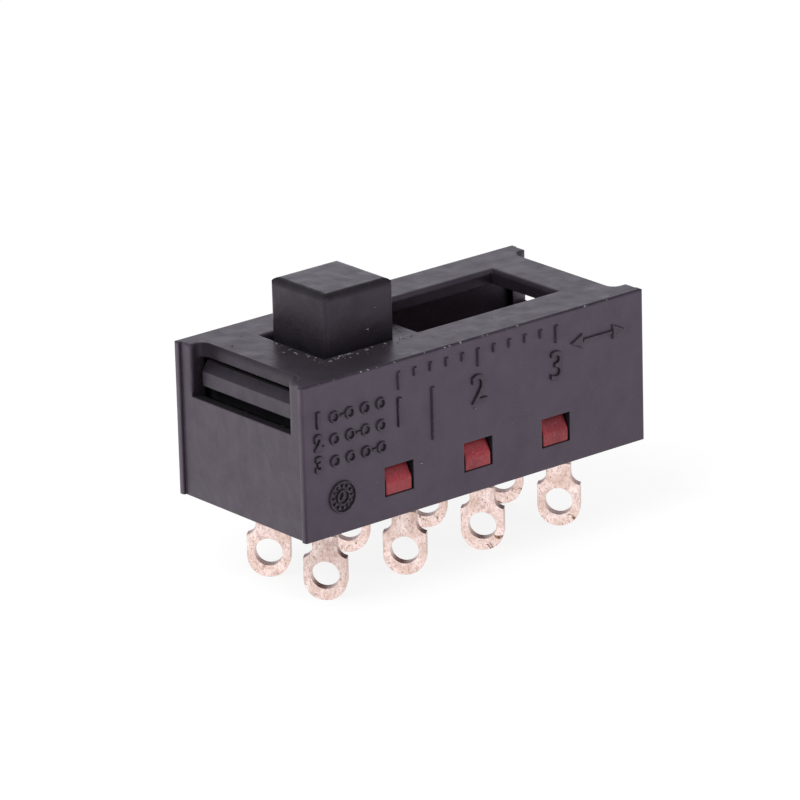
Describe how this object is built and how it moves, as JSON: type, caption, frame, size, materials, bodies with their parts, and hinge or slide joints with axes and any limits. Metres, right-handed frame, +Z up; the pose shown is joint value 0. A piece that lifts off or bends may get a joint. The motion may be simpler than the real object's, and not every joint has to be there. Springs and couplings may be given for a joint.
{
  "type": "slide switch",
  "caption": "Slide switch with a square knob on a carrier that slides in a slotted black housing, over a snapped-in red base with rows of twisted solder lugs.",
  "frame": {"origin": "under the middle of the housing, at the level of the lugs' lowest points", "axes": "+X along the slider's travel, away from its rest position; +Y from the front wall to the rear wall; +Z up, out of the side with the knob"},
  "size_m": [0.034, 0.0154, 0.024],
  "materials": {
    "black_plastic": "matte, moulded",
    "slider_plastic": "matte, moulded",
    "red_plastic": "satin, moulded",
    "terminal_copper": "tinned copper alloy, slightly tarnished",
    "bridge_copper": "stamped copper",
    "rivet_silver": "silver contact rivet",
    "spring_steel": "drawn wire",
    "spring_bronze": "rolled strip"
  },
  "bodies": {
    "switch_body": {"housing": "black_plastic", "terminal_base": "red_plastic", "front_terminal_1": "terminal_copper", "front_terminal_2": "terminal_copper", "front_terminal_3": "terminal_copper", "front_terminal_4": "terminal_copper", "rear_terminal_1": "terminal_copper", "rear_terminal_2": "terminal_copper", "rear_terminal_3": "terminal_copper", "rear_terminal_4": "terminal_copper", "detent_spring": "spring_bronze"},
    "slider": {"slider": "slider_plastic", "front_bridge": "bridge_copper", "rear_bridge": "bridge_copper", "front_left_rivet": "rivet_silver", "front_right_rivet": "rivet_silver", "rear_left_rivet": "rivet_silver", "rear_right_rivet": "rivet_silver", "front_contact_spring": "spring_steel", "rear_contact_spring": "spring_steel"}
  },
  "joints": [
    {"name": "slider_travel", "type": "slide", "parent": "switch_body", "child": "slider", "axis": [1, 0, 0], "range_m": [0, 0.0157], "deforming": ["detent_spring"]}
  ]
}
